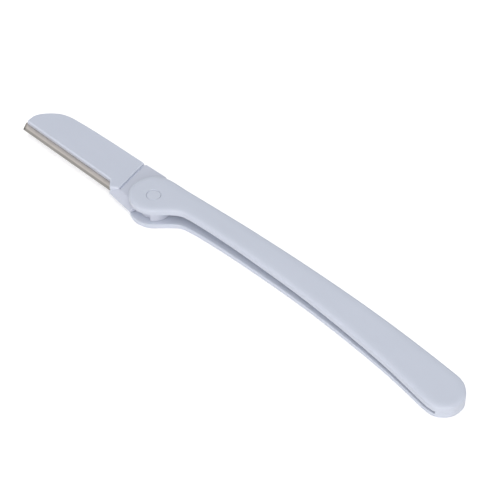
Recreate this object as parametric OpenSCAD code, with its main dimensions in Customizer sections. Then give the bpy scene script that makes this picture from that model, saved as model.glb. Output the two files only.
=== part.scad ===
// Folding eyebrow razor: a slotted plastic handle in two shells, a flush pivot pin, and a blade
// unit of tang, steel strip and two covers that folds into the handle's slot.
// The origin is on the pivot axis, in the handle's flat back face. +X runs to the tail, +Y to the
// spine and +Z out through the front face. The blade is drawn open, along -X.

/* [Handle] */
// Distance from the pivot axis to the tail's end
handle_reach = 108.3; // [90:0.2:140]
// Height of the spine's crown over the pivot axis
handle_rise = 8.8; // [8.2:0.1:11]
// Radius of the round lobe at the pivot
lobe_r = 7.2; // [6.8:0.1:8.4]
// Thickness of the handle over the pivot axis
pivot_t = 7.4; // [7:0.1:10]
// Thickness of the handle at its tail
tail_t = 4.3; // [4.1:0.1:6]
// Thickness of the side walls that the slot leaves
wall_t = 1.9; // [1.5:0.1:2]
// Width of the spine that joins the two walls
spine_w = 1.4; // [1:0.1:1.6]
// Height of the seam between the shells over the back face
seam_z = 2.2; // [2:0.1:2.4]
// Length of the solid tail behind the slot
tail_solid = 4.2; // [4:0.1:8]
// Radius that rounds the outer edges
edge_r = 0.8; // [0.4:0.1:1]

/* [Pivot] */
// Diameter of the pin's shaft
pin_d = 3; // [2:0.1:3.6]
// Diameter of the pin's flush head
pin_head_d = 4.4; // [4:0.1:6]
// Thickness of the pin's head
pin_head_t = 1; // [0.6:0.1:1.2]
// Depth of the blind seat that holds the pin's foot
pin_seat = 1.2; // [0.8:0.1:1.4]
// Radius of the tang's round hub
hub_r = 5.2; // [4:0.1:5.4]
// Radius of the hub's floor in its notch
notch_r = 4; // [3:0.1:4.2]

/* [Blade unit] */
// Distance from the pivot axis to the holder's tip
holder_reach = 53.4; // [45:0.2:56]
// Height of the holder's back over the pivot axis
holder_rise = 10.5; // [9.6:0.1:12]
// Drop of the holder's heel under the pivot axis
heel_drop = 4.8; // [4.4:0.1:5]
// Drop of the tang's lower corner under the pivot axis
bulge_drop = 6; // [5.6:0.1:6.1]
// Distance from the pivot axis to the line where the covers end
cover_end = 12.3; // [11.8:0.1:13]
// Thickness over the two covers
holder_t = 2.8; // [2.4:0.1:2.9]
// Step from a cover's face down to the tang's
root_step = 0.3; // [0.1:0.05:0.4]
// Thickness of the tongue that the covers clasp
tongue_t = 1; // [0.8:0.1:1.4]
// Length of that tongue
tongue_l = 10; // [6:0.5:11]
// Width of the sloping lower side of the tang
slope_w = 2.1; // [1:0.1:2.4]
// Radius that rounds the covers' outer edges
cover_edge_r = 0.4; // [0.2:0.05:0.6]

/* [Steel] */
// Length of the steel strip
steel_l = 38.5; // [32:0.1:40]
// Width of the steel strip
steel_w = 7.8; // [6.5:0.1:8]
// Thickness of the steel strip
steel_t = 0.3; // [0.2:0.05:0.4]
// Width of steel that stands out of the covers
steel_show = 2.65; // [2:0.05:3.4]
// Width of the ground edge
grind_w = 0.8; // [0.4:0.1:1.2]
// Tilt of the strip to the handle's line, in degrees
steel_tilt = 2.7; // [0:0.1:4]
// Slant of the strip's end, outwards from its edge, in degrees
steel_slant = 33; // [0:1:36]

/* [Fits] */
// Running clearance round the pivot pin, on the radius
pin_gap = 0.05; // [0.02:0.01:0.08]
// Side clearance between the hub and each wall
hub_gap = 0.1; // [0.05:0.01:0.15]
// Side clearance between the covers and the back wall
holder_gap = 0.2; // [0.1:0.02:0.3]
// Clearance at the open stop
stop_gap = 0.1; // [0.05:0.01:0.2]
// Clearance round pegs, head and seated pieces
fit_gap = 0.04; // [0.02:0.01:0.08]
// Diameter of the locating pegs
peg_d = 1.5; // [1.2:0.1:1.6]
// Height of a shell's peg over the seam
peg_h = 1.3; // [0.8:0.1:1.4]
// Wall of plastic round a shell's socket
boss_wall = 0.8; // [0.6:0.1:1]

/* [Hidden] */
overrun = 0.5;
round_fn = 64;
span_steps = 4;
arc_steps = 26;
edge_steps = 4;
shell_rgb = [0.76, 0.785, 0.84];
holder_rgb = [0.75, 0.775, 0.83];
steel_rgb = [0.72, 0.70, 0.675];

// The handle's plan: a round lobe, then two curved edges that meet at the tail.
// Shares are of handle_reach along X and of handle_rise along Y.
lobe_centre_shares = [-0.0037, 0.08];
lobe_arc = [94, 321];
mouth_shares = [[0.072, -0.17], [0.095, 0.023], [0.129, 0.085], [0.193, 0.112], [0.274, 0.107],
                [0.355, 0.075], [0.446, 0.026], [0.537, -0.053], [0.629, -0.166], [0.72, -0.306],
                [0.802, -0.458], [0.872, -0.625], [0.928, -0.771], [0.96, -0.793]];
tail_shares = [[0.98, -0.661], [0.995, -0.442], [1, -0.159], [0.997, 0.108], [0.98, 0.386],
               [0.955, 0.57]];
spine_shares = [[0.91, 0.65], [0.83, 0.755], [0.74, 0.85], [0.645, 0.925], [0.545, 0.97],
                [0.445, 0.996], [0.345, 1], [0.245, 0.987], [0.152, 0.955], [0.061, 0.915]];

taper = (pivot_t - tail_t) / handle_reach;
lobe_centre = [lobe_centre_shares.x * handle_reach, lobe_centre_shares.y * handle_rise];
slot_end = handle_reach - tail_solid;
peg_inset = spine_w + boss_wall / 2;
peg_stations = [2, 4, 6];
tail_peg_share = -0.2;
tail_peg = [handle_reach - tail_solid / 2, tail_peg_share * handle_rise];
socket_d = peg_d + 2 * fit_gap;
boss_d = socket_d + 2 * boss_wall;

// The web's front end is the open stop, and the tang's round shoulder comes to it.
stop_share = -0.58;
stop_x = stop_share * lobe_r;
shoulder_x = stop_x - stop_gap;
shoulder_r = 2;
shoulder_share = 0.945;
shoulder_steps = 8;

// Heights in the blade unit
holder_z = wall_t + holder_gap;
steel_z = holder_z + (holder_t - steel_t) / 2;
cover_seam_z = steel_z + steel_t;
tongue_z = holder_z + (holder_t - tongue_t) / 2;
root_z = holder_z + root_step;
root_t = holder_t - 2 * root_step;
hub_z = wall_t + hub_gap;
hub_top = pivot_t - wall_t - taper * hub_r - hub_gap;

// The covers' end line leans: its top lies further out than its foot.
end_lean = 1.4;
end_share = 0.958;
end_top = [-cover_end - end_lean, end_share * holder_rise];
end_foot = [-cover_end + end_lean, -heel_drop];

// The steel's heel corner on its edge, and the line along which it leaves the covers
heel_share = 0.85;
steel_heel = [-cover_end - end_lean, -heel_share * heel_drop];
heel_run = 2.4;
tip_nose = 0.3;
foot_heel = [steel_heel.x - heel_run, steel_heel.y + steel_show + heel_run * tan(steel_tilt)];
foot_tip = [tip_nose - holder_reach,
            foot_heel.y + (foot_heel.x + holder_reach - tip_nose) * tan(steel_tilt)];

// The covers' back and round tip, as shares of holder_reach along -X and of holder_rise along Y
back_shares = [[0.38, 0.973], [0.51, 0.99], [0.64, 1], [0.75, 0.996], [0.835, 0.975],
               [0.893, 0.9], [0.94, 0.742], [0.979, 0.535], [0.998, 0.345], [0.998, 0.17]];

// The steel's end slants up to its corner, and from there a clip keeps it under the round tip.
// Shares are of the strip's width: the clip's run along the back, and the corner's height.
clip_shares = [0.28, 0.33];
steel_land = 0.04;
steel_peg_shares = [0.25, 0.75];

// Pegs of the front cover pass through the steel and the tongue into the back cover.
cover_peg_d = 1.4;
cover_peg_floor = 0.6;
cover_peg_z = holder_z + cover_peg_floor;
cover_peg_top = tongue_z + tongue_t + root_step;
hole_d = cover_peg_d + 2 * fit_gap;

// The tang: its corner and the notch's start below the hub, as shares of hub_r, the notch's two
// sides in degrees, and the upright land under the sloping side
bulge_share = 0.73;
notch_share = 0.56;
notch_arc = [237, 301];
slope_land = 0.5;

// A straight line's normal, to its right-hand side when walked from a to b
function away(a, b) = let (d = b - a) [d.y, -d.x] / norm(d);

// One point of a smooth curve through b and c, at the share t of the way
function curve_point(a, b, c, d, t) =
    ((2 * b) + (c - a) * t + (2 * a - 5 * b + 4 * c - d) * t * t
     + (3 * b - a - 3 * c + d) * t * t * t) / 2;

// A smooth curve through all points of p, from the second to the last but one
function curve(p, steps) =
    [for (i = [1 : len(p) - 3], k = [0 : steps - 1])
        curve_point(p[i - 1], p[i], p[i + 1], p[i + 2], k / steps)];

function arc(centre, r, from, to, steps) =
    [for (k = [0 : steps]) let (a = from + (to - from) * k / steps)
        centre + r * [cos(a), sin(a)]];

// Every point of a closed outline moved inwards by the same wall
function inset(p, d) =
    [for (i = [0 : len(p) - 1])
        let (n = len(p), u = away(p[(i + n - 1) % n], p[i]), v = away(p[i], p[(i + 1) % n]))
        p[i] - d * (u + v) / (1 + u * v)];

function scaled(shares) = [for (s = shares) [s.x * handle_reach, s.y * handle_rise]];

lobe_points = arc(lobe_centre, lobe_r, lobe_arc[0], lobe_arc[1], arc_steps);
edge_stations = concat([lobe_points[arc_steps - 3], lobe_points[arc_steps]],
                       scaled(mouth_shares), scaled(tail_shares), scaled(spine_shares),
                       [lobe_points[0], lobe_points[3]]);
handle_plan = concat([for (i = [0 : arc_steps - 1]) lobe_points[i]],
                     curve(edge_stations, span_steps));

// Layers of an outline with a rounded edge at its top: inset and height of each
function top_layers(r, z) =
    [for (k = [0 : edge_steps]) let (a = 90 * k / edge_steps)
        [r * (1 - cos(a)), z - r + r * sin(a)]];

function flip_layers(layers, z) =
    [for (i = [len(layers) - 1 : -1 : 0]) [layers[i][0], z - layers[i][1]]];

// How far each layer's height follows the front face's slope: none of them, or all but the seam
level_slopes = [for (i = [0 : edge_steps + 1]) 0];
front_slopes = [for (i = [0 : edge_steps + 1]) i == 0 ? 0 : 1];

// A solid through layers of one outline, each an inset and a height
module layered(outline, layers, slopes) {
    n = len(outline);
    m = len(layers);
    points = [for (j = [0 : m - 1], q = inset(outline, layers[j][0]))
        [q.x, q.y, layers[j][1] - slopes[j] * taper * q.x]];
    sides = [for (j = [0 : m - 2], i = [0 : n - 1], half = [0, 1])
        let (a = j * n + i, b = j * n + (i + 1) % n)
        half == 0 ? [a, a + n, b + n] : [a, b + n, b]];
    polyhedron(points,
               concat([[for (i = [0 : n - 1]) i]], sides,
                      [[for (i = [n - 1 : -1 : 0]) (m - 1) * n + i]]));
}

// Plan of the space between the walls: under the spine, and open at the front. Its roof follows
// the plan from the tail's last point along the spine and over the lobe's first quarter.
module slot_plan() {
    floor_y = -2 * handle_rise;
    under_spine = inset(handle_plan, spine_w);
    first = len(lobe_points) - 1 + span_steps * (len(mouth_shares) + len(tail_shares));
    spine_line = [for (i = [first : len(handle_plan) - 1]) under_spine[i]];
    lobe_line = [for (i = [0 : floor(arc_steps / 4)]) under_spine[i]];
    intersection() {
        polygon(concat([[handle_reach, floor_y], [handle_reach, spine_line[0].y]],
                       spine_line, lobe_line, [[-2 * lobe_r, lobe_centre.y],
                                               [-2 * lobe_r, floor_y]]));
        translate([stop_x, floor_y])
            square([slot_end - stop_x, -floor_y + 2 * handle_rise]);
    }
    translate([-2 * lobe_r, floor_y])
        square([2 * lobe_r + stop_x, -floor_y + 2 * handle_rise]);
}

// The slot itself: flat at the back wall, sloping with the front wall
module slot() {
    low = -2 * lobe_r;
    intersection() {
        translate([0, 0, wall_t]) linear_extrude(pivot_t) slot_plan();
        translate([0, 3 * handle_rise, 0]) rotate([90, 0, 0])
            linear_extrude(6 * handle_rise)
                polygon([[low, 0], [handle_reach, 0],
                         [handle_reach, tail_t - wall_t],
                         [low, pivot_t - wall_t - taper * low]]);
    }
}

// The space on one side of the seam, from z up
module beyond_seam(z) {
    translate([-2 * lobe_r, -3 * handle_rise, z]) cube([2 * handle_reach, 6 * handle_rise, pivot_t]);
}

// Places of the locating pegs: along the spine, and one in the solid tail
function peg_places() = concat(
    [for (i = peg_stations) scaled(spine_shares)[i] - [0, peg_inset + socket_d / 2]],
    [tail_peg]);

module back_handle_shell() {
    color(shell_rgb) {
        difference() {
            layered(handle_plan,
                    concat(flip_layers(top_layers(edge_r, 0), 0), [[0, seam_z + overrun]]),
                    level_slopes);
            beyond_seam(seam_z);
            slot();
            translate([0, 0, wall_t - pin_seat])
                cylinder(h = pin_seat + overrun, d = pin_d, $fn = round_fn);
        }
        for (p = peg_places()) translate([p.x, p.y, wall_t]) {
            cylinder(h = seam_z - wall_t, d = boss_d, $fn = round_fn);
            cylinder(h = seam_z - wall_t + peg_h, d = peg_d, $fn = round_fn);
        }
    }
}

module front_handle_shell() {
    color(shell_rgb) difference() {
        union() {
            difference() {
                layered(handle_plan,
                        concat([[0, seam_z - overrun]], top_layers(edge_r, pivot_t)),
                        front_slopes);
                beyond_seam(seam_z - pivot_t);
                slot();
            }
            for (p = peg_places()) translate([p.x, p.y, seam_z])
                cylinder(h = pivot_t - wall_t / 2 - taper * p.x - seam_z, d = boss_d,
                         $fn = round_fn);
        }
        for (p = peg_places()) translate([p.x, p.y, seam_z - overrun])
            cylinder(h = peg_h + fit_gap + overrun, d = socket_d, $fn = round_fn);
        cylinder(h = 2 * pivot_t, d = pin_d, $fn = round_fn);
        translate([0, 0, pivot_t - pin_head_t])
            cylinder(h = 2 * pin_head_t, d = pin_head_d + 2 * fit_gap, $fn = round_fn);
    }
}

module pivot_pin() {
    head_top = pivot_t - taper * pin_head_d / 2;
    color(shell_rgb) {
        translate([0, 0, wall_t - pin_seat])
            cylinder(h = head_top - wall_t + pin_seat, d = pin_d, $fn = round_fn);
        translate([0, 0, pivot_t - pin_head_t])
            cylinder(h = head_top - pivot_t + pin_head_t, d = pin_head_d, $fn = round_fn);
    }
}

// Plan of the tang from its shoulder to the covers' end line, without the hub
module root_plan() {
    shoulder = [shoulder_x - shoulder_r, shoulder_share * holder_rise - shoulder_r];
    bulge = [-bulge_share * hub_r, -bulge_drop];
    polygon(concat([end_foot, bulge, [-notch_share * hub_r, -notch_r], [0, -notch_r], [0, 0],
                    [shoulder_x, 0]],
                   arc(shoulder, shoulder_r, 0, 90, shoulder_steps), [end_top]));
}

// Plan of the tongue that reaches between the covers, above the steel
tongue_share = 0.8;
tongue_top = tongue_share * holder_rise;
tongue_foot = steel_heel.y + steel_w + boss_wall;
tongue_points = [[-cover_end, tongue_foot], [-cover_end, tongue_top],
                 [-cover_end - tongue_l, tongue_top],
                 [-cover_end - tongue_l, tongue_foot + boss_wall / 2]];

module blade_tang() {
    slope_turn = atan2(heel_drop - bulge_drop, -end_foot.x - bulge_share * hub_r);
    color(holder_rgb) difference() {
        union() {
            difference() {
                translate([0, 0, root_z]) linear_extrude(root_t) root_plan();
                translate([end_foot.x, end_foot.y, root_z + slope_land])
                    rotate([0, 0, slope_turn])
                    rotate([atan2(root_t - slope_land, slope_w), 0, 0])
                        translate([-2 * slope_w, -2 * slope_w, 0])
                            cube([8 * hub_r, 6 * slope_w, 2 * root_t]);
            }
            difference() {
                translate([0, 0, hub_z])
                    cylinder(h = hub_top - hub_z, r = hub_r, $fn = 2 * round_fn);
                translate([0, 0, hub_z - overrun]) linear_extrude(pivot_t) difference() {
                    polygon(concat([[0, 0]], [for (a = notch_arc) 2 * hub_r * [cos(a), sin(a)]]));
                    circle(r = notch_r, $fn = round_fn);
                }
            }
            translate([0, 0, tongue_z]) linear_extrude(tongue_t) polygon(tongue_points);
        }
        translate([tongue_peg.x, tongue_peg.y, tongue_z - overrun])
            cylinder(h = tongue_t + 2 * overrun, d = hole_d, $fn = round_fn);
        translate([0, 0, -overrun])
            cylinder(h = 2 * pivot_t, r = pin_d / 2 + pin_gap, $fn = round_fn);
    }
}

// Moves its children to the steel's own frame: the heel of the edge at zero, +Y into the covers
module on_steel() {
    translate([steel_heel.x, steel_heel.y, steel_z]) rotate([0, 0, -steel_tilt]) children();
}

function steel_point(p) = steel_heel + [p.x * cos(steel_tilt) + p.y * sin(steel_tilt),
                                        p.y * cos(steel_tilt) - p.x * sin(steel_tilt)];

// Plan of the strip in its own frame
steel_toe = [-steel_l, 0];
steel_corner = steel_toe + clip_shares.y * steel_w * [-tan(steel_slant), 1];
steel_shoulder = [clip_shares.x * steel_w - steel_l, steel_w];
steel_plan = [[0, 0], [0, steel_w], steel_shoulder, steel_corner, steel_toe];
steel_pegs = [for (s = steel_peg_shares) [-s * steel_l, (steel_show + steel_w) / 2]];
tongue_peg_share = 0.6;
tongue_peg = [-cover_end - tongue_peg_share * tongue_l, (tongue_foot + tongue_top) / 2];

module steel_blade() {
    color(steel_rgb) on_steel() difference() {
        translate([-steel_l - steel_w, 0, 0]) rotate([90, 0, 90])
            linear_extrude(steel_l + steel_w)
            polygon([[0, (steel_t - steel_land) / 2], [grind_w, 0], [steel_w, 0],
                     [steel_w, steel_t], [grind_w, steel_t], [0, (steel_t + steel_land) / 2]]);
        translate([0, 0, -overrun]) linear_extrude(steel_t + 2 * overrun)
            polygon([2 * steel_toe - steel_corner, steel_corner, 2 * steel_shoulder - steel_corner,
                     [-2 * steel_l, 2 * steel_w], [-2 * steel_l, -steel_corner.y]]);
        for (p = steel_pegs) translate([p.x, p.y, -overrun])
            cylinder(h = steel_t + 2 * overrun, d = hole_d, $fn = round_fn);
    }
}

// Plan of both covers: the end line, the back, the round tip, the foot line and the heel
cover_back = [for (s = back_shares) [-s.x * holder_reach, s.y * holder_rise]];
cover_last = cover_back[len(cover_back) - 1];
cover_plan = concat([end_foot],
                    curve(concat([2 * end_top - cover_back[0], end_top], cover_back,
                                 [foot_tip, 2 * foot_tip - cover_last]), span_steps),
                    [foot_tip, foot_heel, steel_heel]);

// Places where pegs pass from cover to cover, through the steel and the tongue
cover_peg_places = concat([for (p = steel_pegs) steel_point(p)], [tongue_peg]);

module front_blade_cover() {
    color(holder_rgb) {
        difference() {
            layered(cover_plan,
                    concat([[0, cover_seam_z]],
                           top_layers(cover_edge_r, holder_z + holder_t)), level_slopes);
            translate([0, 0, tongue_z]) linear_extrude(tongue_t)
                polygon(inset(tongue_points, -fit_gap));
        }
        for (p = cover_peg_places) translate([p.x, p.y, cover_peg_z])
            cylinder(h = cover_peg_top - cover_peg_z, d = cover_peg_d, $fn = round_fn);
    }
}

module back_blade_cover() {
    color(holder_rgb) difference() {
        layered(cover_plan,
                concat(flip_layers(top_layers(cover_edge_r, 0), holder_z),
                       [[0, cover_seam_z]]), level_slopes);
        on_steel() linear_extrude(holder_t) polygon(inset(steel_plan, -fit_gap));
        translate([0, 0, tongue_z]) linear_extrude(holder_t)
            polygon(inset(tongue_points, -fit_gap));
        for (p = cover_peg_places) translate([p.x, p.y, cover_peg_z - fit_gap])
            cylinder(h = holder_t, d = hole_d, $fn = round_fn);
    }
}

back_handle_shell();
front_handle_shell();
pivot_pin();
blade_tang();
steel_blade();
back_blade_cover();
front_blade_cover();
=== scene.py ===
"""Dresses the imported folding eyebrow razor, and sets up its studio and camera.

The frame is the razor's own: the origin is on the pivot axis in the handle's flat back face, +X
runs to the tail, +Y to the spine and +Z out through the front face. Shapes are worked out in
millimetres, and meshes are in metres.
"""

import logging
import math
from dataclasses import dataclass, field
from enum import Enum

import bmesh
import bpy
import numpy as np
from mathutils import Matrix, Vector, geometry


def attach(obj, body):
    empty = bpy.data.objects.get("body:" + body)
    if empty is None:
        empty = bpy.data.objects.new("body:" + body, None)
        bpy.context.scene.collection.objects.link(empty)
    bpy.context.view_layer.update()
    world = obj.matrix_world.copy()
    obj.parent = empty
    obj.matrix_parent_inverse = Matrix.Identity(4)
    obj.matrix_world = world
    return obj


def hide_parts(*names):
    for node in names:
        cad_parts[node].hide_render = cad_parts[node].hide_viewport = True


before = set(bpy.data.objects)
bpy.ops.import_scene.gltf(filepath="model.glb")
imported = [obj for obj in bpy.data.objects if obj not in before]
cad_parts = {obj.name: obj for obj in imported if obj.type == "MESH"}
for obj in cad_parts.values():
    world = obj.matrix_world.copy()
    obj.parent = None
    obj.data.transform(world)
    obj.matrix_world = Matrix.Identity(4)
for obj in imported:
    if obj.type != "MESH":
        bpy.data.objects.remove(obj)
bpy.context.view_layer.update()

Array = np.ndarray
Colour = tuple[float, float, float]

MM = 0.001
WHITE = (1.0, 1.0, 1.0)
# Least distance that counts, in mm in a plan and in m in a mesh.
MERGE = 1e-7
# Width of the flat rim inside a rounded edge, in mm.
FLAT_RIM = 0.06
# Points of a round hole, and steps of the upper and the lower edge of a slab.
HOLE_STEPS = 72
SLAB_STEPS = (6, 4)
PIVOT = np.zeros(2)
log = logging.getLogger("razor")


def unit(way: Array) -> Array:
    """The way's direction, with a length of one."""
    return way / np.linalg.norm(way)


def left_of(way: Array) -> Array:
    """The way turned left by a right angle."""
    return np.array([-way[1], way[0]])


def arc(centre: Array, radius: float, start: float, stop: float, steps: int) -> Array:
    """Points of an arc: the centre plus the radius times cosine and sine of the turning angle.

    Args:
        centre: Centre of the arc, in mm.
        radius: Radius, in mm.
        start: First angle, in degrees.
        stop: Last angle, in degrees.
        steps: Number of equal steps between the two.

    Returns:
        The points, one row each.
    """
    turn = np.radians(np.linspace(start, stop, steps + 1))
    return np.asarray(centre) + radius * np.stack([np.cos(turn), np.sin(turn)], axis=1)


def smooth_curve(stations: Array, steps: int) -> Array:
    """A curve through all stations but the first and the last one.

    Between two stations b and c it is the cubic in the share t whose slopes there are half of
    c minus a and half of d minus b, with a and d the stations before and after them.

    Args:
        stations: Points that the curve follows.
        steps: Number of steps between two stations.

    Returns:
        The points, without the curve's last one.
    """
    a, b, c, d = (stations[k:len(stations) - 3 + k, None, :] for k in range(4))
    t = (np.arange(steps) / steps)[None, :, None]
    points = (2 * b + (c - a) * t + (2 * a - 5 * b + 4 * c - d) * t ** 2
              + (3 * b - a - 3 * c + d) * t ** 3) / 2
    return points.reshape(-1, 2)


def line(start: Array, stop: Array, steps: int) -> Array:
    """Points on a straight line: the start plus growing shares of the way to the stop.

    Args:
        start: First point.
        stop: End of the line, which isn't among the points.
        steps: Number of points.

    Returns:
        The points, one row each.
    """
    share = (np.arange(steps) / steps)[:, None]
    return np.asarray(start) * (1 - share) + np.asarray(stop) * share


def chain(blocks: list[Array], steps: tuple[int, ...]) -> Array:
    """Blocks of points in a row, each two joined by a straight line.

    Args:
        blocks: Points or blocks of points.
        steps: Steps of the line after each block. With one for the last block too, that one
            leads back to the first block.

    Returns:
        The points, one row each.
    """
    blocks = [np.atleast_2d(block) for block in blocks]
    rows = []
    for k, block in enumerate(blocks):
        rows.append(block)
        if k < len(steps):
            rows.append(line(block[-1], blocks[(k + 1) % len(blocks)][0], steps[k])[1:])
    return np.concatenate(rows)


def length_shares(path: Array) -> Array:
    """For each point of a path, the share of the path's length that lies before it.

    Args:
        path: Points of the path.

    Returns:
        One share for each point, from 0 to 1.
    """
    steps = np.linalg.norm(np.diff(path, axis=0), axis=1)
    reach = np.concatenate([[0], np.cumsum(steps)])
    return reach / reach[-1]


def along(path: Array, shares: Array) -> Array:
    """Points at given shares of a path's length, by straight steps between its points.

    Args:
        path: Points of the path.
        shares: Shares of its length, from 0 to 1.

    Returns:
        One point for each share.
    """
    reach = length_shares(path)
    return np.stack([np.interp(shares, reach, path[:, k]) for k in (0, 1)], axis=1)


def soft_corner(before: Array, corner: Array, after: Array, radius: float, steps: int) -> Array:
    """A rounded corner: the arc that touches both sides.

    Its centre lies on the corner's bisector, at the radius over the sine of half the angle
    between the sides.

    Args:
        before: A point on the side that comes in.
        corner: The sharp corner.
        after: A point on the side that goes out.
        radius: Radius of the arc.
        steps: Number of steps round the corner.

    Returns:
        The points, both ends included.
    """
    u, v = unit(before - corner), unit(after - corner)
    half = math.acos(float(np.clip(u @ v, -1, 1))) / 2
    centre = corner + unit(u + v) * radius / math.sin(half)
    first, last = (corner + w * radius / math.tan(half) - centre for w in (u, v))
    start = math.atan2(first[1], first[0])
    turn = math.atan2(first[0] * last[1] - first[1] * last[0], float(first @ last))
    return arc(centre, radius, math.degrees(start), math.degrees(start + turn), steps)


def outwards(outline: Array) -> Array:
    """How far each point moves when a closed outline grows by one: along both sides' normals.

    With u and v the outward unit normals of the sides before and after a point, it moves by
    their sum divided by one plus their product.

    Args:
        outline: Points of a closed outline, anticlockwise.

    Returns:
        One move for each point.
    """
    side = np.roll(outline, -1, axis=0) - outline
    normal = np.stack([side[:, 1], -side[:, 0]], axis=1)
    normal /= np.linalg.norm(normal, axis=1)[:, None]
    before = np.roll(normal, 1, axis=0)
    return (before + normal) / (1 + (before * normal).sum(axis=1))[:, None]


def inside(points: Array, loop: Array) -> Array:
    """Which points lie in a closed loop: those from which a ray crosses it an odd number of times.

    Args:
        points: Points to test.
        loop: Points of the closed loop.

    Returns:
        True or False for each point.
    """
    nxt = np.roll(loop, -1, axis=0)
    x, y = points[:, 0, None], points[:, 1, None]
    spans = (loop[:, 1] > y) != (nxt[:, 1] > y)
    rise = np.where(nxt[:, 1] == loop[:, 1], 1.0, nxt[:, 1] - loop[:, 1])
    cross = loop[:, 0] + (y - loop[:, 1]) / rise * (nxt[:, 0] - loop[:, 0])
    return (spans & (x < cross)).sum(axis=1) % 2 == 1


def ring(plan: Array, height: float | Array, slope: float = 0.0) -> Array:
    """A plan's points at a height, less a slope times their distance along X.

    Args:
        plan: Points in the plan.
        height: Height over the pivot, one or one for each point.
        slope: Fall of the height along +X.

    Returns:
        Points in space.
    """
    tall = np.broadcast_to(height, (len(plan),)) - slope * plan[:, 0]
    return np.concatenate([plan, tall[:, None]], axis=1)


def rounding(radius: float, steps: int) -> list[tuple[float, float]]:
    """The quarter circle of a rounded edge, from its flat face to its upright side.

    Args:
        radius: Radius of the edge.
        steps: Number of steps on the quarter circle.

    Returns:
        How far each step is moved inwards, and how far it is below the face.
    """
    turn = np.radians(np.linspace(90, 0, steps + 1))
    return list(zip(radius * (1 - np.cos(turn)), radius * (1 - np.sin(turn))))


def crown(width: float, depth: float, steps: int) -> list[tuple[float, float]]:
    """A face that is gently crowned towards its edge and turns into the upright side.

    With u one less the share of the width, the fall is the depth times one less the root of
    one less u cubed, so that it is flat inside and upright at the edge.

    Args:
        width: Width over which the face falls.
        depth: How far it falls to the upright side.
        steps: Number of steps.

    Returns:
        How far each step is moved inwards, and how far it is below the face.
    """
    turn = np.radians(np.linspace(90, 0, steps + 1))
    u = np.cos(turn) ** (2 / 3)
    return list(zip(width * (1 - u), depth * (1 - np.sqrt(np.clip(1 - u ** 3, 0, 1)))))


class SlotName(Enum):
    """Names of the material slots."""

    HANDLE = "handle_plastic"
    HOLDER = "holder_plastic"
    PIN = "pin_plastic"
    STEEL = "blade_steel"


class BodyName(Enum):
    """The bodies that the pieces ride on."""

    HANDLE = "handle"
    BLADE = "blade_unit"


class Finish(Enum):
    """The finishes, by the name of their material."""

    SHELLS = "Handle plastic"
    COVERS = "Cover plastic"
    # Same plastic as the covers, painted a little darker as shade.
    SHADED_TANG = "Tang plastic"
    PIN = "Pin plastic"
    STEEL = "Ground strip steel"


@dataclass
class Skin:
    """Collects closed surfaces in millimetres, and makes one object of them.

    Attributes:
        points: Blocks of points in space.
        faces: Blocks of faces, each with as many corners as the block has columns.
        count: Number of points so far.
    """

    points: list[Array] = field(default_factory=list)
    faces: list[Array] = field(default_factory=list)
    count: int = 0

    def add(self, block: Array) -> Array:
        """Adds points.

        Args:
            block: Points in space, one row each.

        Returns:
            Their indices.
        """
        self.points.append(block)
        self.count += len(block)
        return np.arange(self.count - len(block), self.count)

    def wrap(self, rings: list[Array]) -> tuple[Array, Array]:
        """Adds the surface through rings of equal length: the grid of ring by place on the ring.

        Rings go round anticlockwise and down the outer side, so that the faces point outwards.

        Args:
            rings: The rings, in order.

        Returns:
            The indices of the first ring and of the last one.
        """
        index = np.stack([self.add(r) for r in rings])
        nxt = np.roll(index, -1, axis=1)
        quads = np.stack([index[:-1], index[1:], nxt[1:], nxt[:-1]], axis=-1)
        self.faces.append(quads.reshape(-1, 4))
        return index[0], index[-1]

    def cap(self, loops: list[Array], up: bool, net: Array | None = None) -> None:
        """Closes the region between an outer loop and the loops of its holes with triangles.

        The outer loop runs anticlockwise and the holes' loops clockwise, so that the region is
        what lies to the left of all of them.

        Args:
            loops: Indices of the outer loop, and of each hole's loop.
            up: Whether the region faces up.
            net: Indices of points inside the region that the triangles meet as well.
        """
        index = np.concatenate(loops if net is None else [*loops, net])
        ends = np.cumsum([len(loop) for loop in loops])
        bounds = [list(range(end - len(loop), end)) for loop, end in zip(loops, ends)]
        plan = [Vector(p) for p in np.concatenate(self.points)[index, :2].tolist()]
        found = geometry.delaunay_2d_cdt(plan, [], bounds, 0, MERGE, True)
        origin = np.array([o[0] for o in found[3]])
        keep = np.array([len(within) for within in found[5]]) == len(loops)
        corners = origin[np.array(found[2])[keep]]
        self.faces.append(index[corners if up else corners[:, ::-1]])

    def solid(self, rings: list[Array]) -> None:
        """Adds a closed solid: the surface through the rings, and both ends.

        Args:
            rings: The rings, from the top down.
        """
        first, last = self.wrap(rings)
        self.cap([first], True)
        self.cap([last], False)

    def make(self, name: str, sharp: float = 32.0) -> bpy.types.Object:
        """Makes the object, merges points that fall together and marks the sharp edges.

        Args:
            name: Name of the object.
            sharp: Angle between two faces past which their edge is sharp, in degrees.

        Returns:
            The object, in the scene.
        """
        mesh = bpy.data.meshes.new(name)
        faces = [f for block in self.faces for f in block.tolist()]
        mesh.from_pydata((np.concatenate(self.points) * MM).tolist(), [], faces)
        work = bmesh.new()
        work.from_mesh(mesh)
        bmesh.ops.remove_doubles(work, verts=work.verts, dist=MERGE)
        work.to_mesh(mesh)
        work.free()
        mesh.shade_smooth()
        mesh.set_sharp_from_angle(angle=math.radians(sharp))
        piece = bpy.data.objects.new(name, mesh)
        bpy.context.scene.collection.objects.link(piece)
        return piece


def place(piece: bpy.types.Object, body: BodyName, node: str,
          material: bpy.types.Material) -> None:
    """Gives a piece its material and body, and lets it stand for its CAD node.

    Args:
        piece: The piece.
        body: Body that it rides on.
        node: CAD node that it stands for.
        material: Its material.
    """
    piece.data.materials.append(material)
    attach(piece, body.value)
    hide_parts(node)
    log.info("%s: %d faces, on %s", piece.name, len(piece.data.polygons), body.value)


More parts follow.
